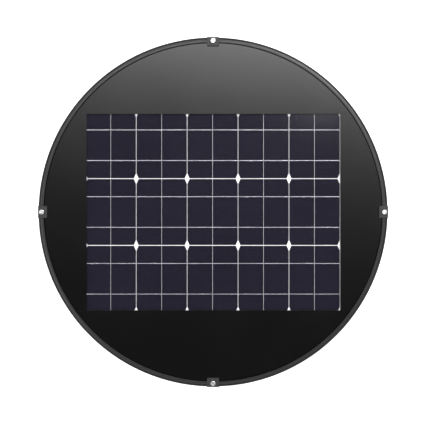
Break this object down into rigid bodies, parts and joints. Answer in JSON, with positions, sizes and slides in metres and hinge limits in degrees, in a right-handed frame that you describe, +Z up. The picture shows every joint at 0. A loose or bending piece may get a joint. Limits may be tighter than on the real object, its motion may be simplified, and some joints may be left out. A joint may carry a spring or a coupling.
{
  "type": "solar attic fan",
  "caption": "Round roof vent fan: a black lid with an inset solar laminate on a rain hood, held by straps over a flashing whose throat holds a bladed fan and motor.",
  "frame": {"origin": "centre of the underside of the roof flange, on the fan's axis", "axes": "+Z up along the fan's axis, +Y towards the junction box side of the lid, +X along the cell rows"},
  "size_m": [0.657, 0.657, 0.1946],
  "materials": {
    "gloss_black": "gloss",
    "powder_coat": "satin powder coat",
    "rim_plastic": "fine moulded texture",
    "clip_plastic": "fine moulded texture",
    "black_rubber": "matte",
    "clear_sheet": "clear polymer sheet",
    "solar_cell": "satin coated silicon",
    "white_sheet": "matte",
    "stainless": "bright",
    "zinc_steel": "zinc plated",
    "blade_aluminium": "mill finish",
    "cast_aluminium": "as cast",
    "silicon_steel": "laminated",
    "copper": "enamelled copper wire",
    "magnet": "coated magnet",
    "box_plastic": "moulded",
    "cable": "satin jacket"
  },
  "bodies": {
    "housing": {"lid_disc": "gloss_black", "roof_flange": "powder_coat", "throat_tube": "powder_coat", "hood_deck": "powder_coat", "hood_skirt": "powder_coat", "hood_strap_1": "powder_coat", "hood_strap_2": "powder_coat", "hood_strap_3": "powder_coat", "hood_strap_4": "powder_coat", "rim_ring": "rim_plastic", "rim_clip_1": "clip_plastic", "rim_clip_2": "clip_plastic", "rim_clip_3": "clip_plastic", "rim_clip_4": "clip_plastic", "lid_gasket": "black_rubber", "motor_grommet_1": "black_rubber", "motor_grommet_2": "black_rubber", "motor_grommet_3": "black_rubber", "front_sheet": "clear_sheet", "cell_string_1": "solar_cell", "cell_string_2": "solar_cell", "cell_string_3": "solar_cell", "back_sheet": "white_sheet", "clip_screw_1": "stainless", "clip_screw_2": "stainless", "clip_screw_3": "stainless", "clip_screw_4": "stainless", "strap_bolt_1": "stainless", "strap_bolt_2": "stainless", "strap_bolt_3": "stainless", "strap_bolt_4": "stainless", "motor_screw_1": "stainless", "motor_screw_2": "stainless", "motor_screw_3": "stainless", "exhaust_screen": "stainless", "bearing_lower": "stainless", "bearing_upper": "stainless", "temperature_probe": "stainless", "motor_bracket": "zinc_steel", "motor_can": "cast_aluminium", "motor_cover": "cast_aluminium", "stator_core": "silicon_steel", "stator_winding": "copper", "fan_shroud": "box_plastic", "junction_box": "box_plastic", "junction_box_lid": "box_plastic", "control_box": "box_plastic", "control_box_lid": "box_plastic", "panel_lead": "cable", "motor_lead": "cable"},
    "rotor": {"rotor_magnet": "magnet", "motor_shaft": "stainless", "fan_hub": "cast_aluminium", "hub_set_screw": "zinc_steel", "fan_spider": "zinc_steel", "fan_blade_1": "blade_aluminium", "fan_blade_2": "blade_aluminium", "fan_blade_3": "blade_aluminium", "fan_blade_4": "blade_aluminium", "fan_blade_5": "blade_aluminium"}
  },
  "joints": [
    {"name": "fan_spin", "type": "hinge", "parent": "housing", "child": "rotor", "pos_m": [0, 0, 0.044], "axis": [0, 0, 1], "continuous": true}
  ]
}
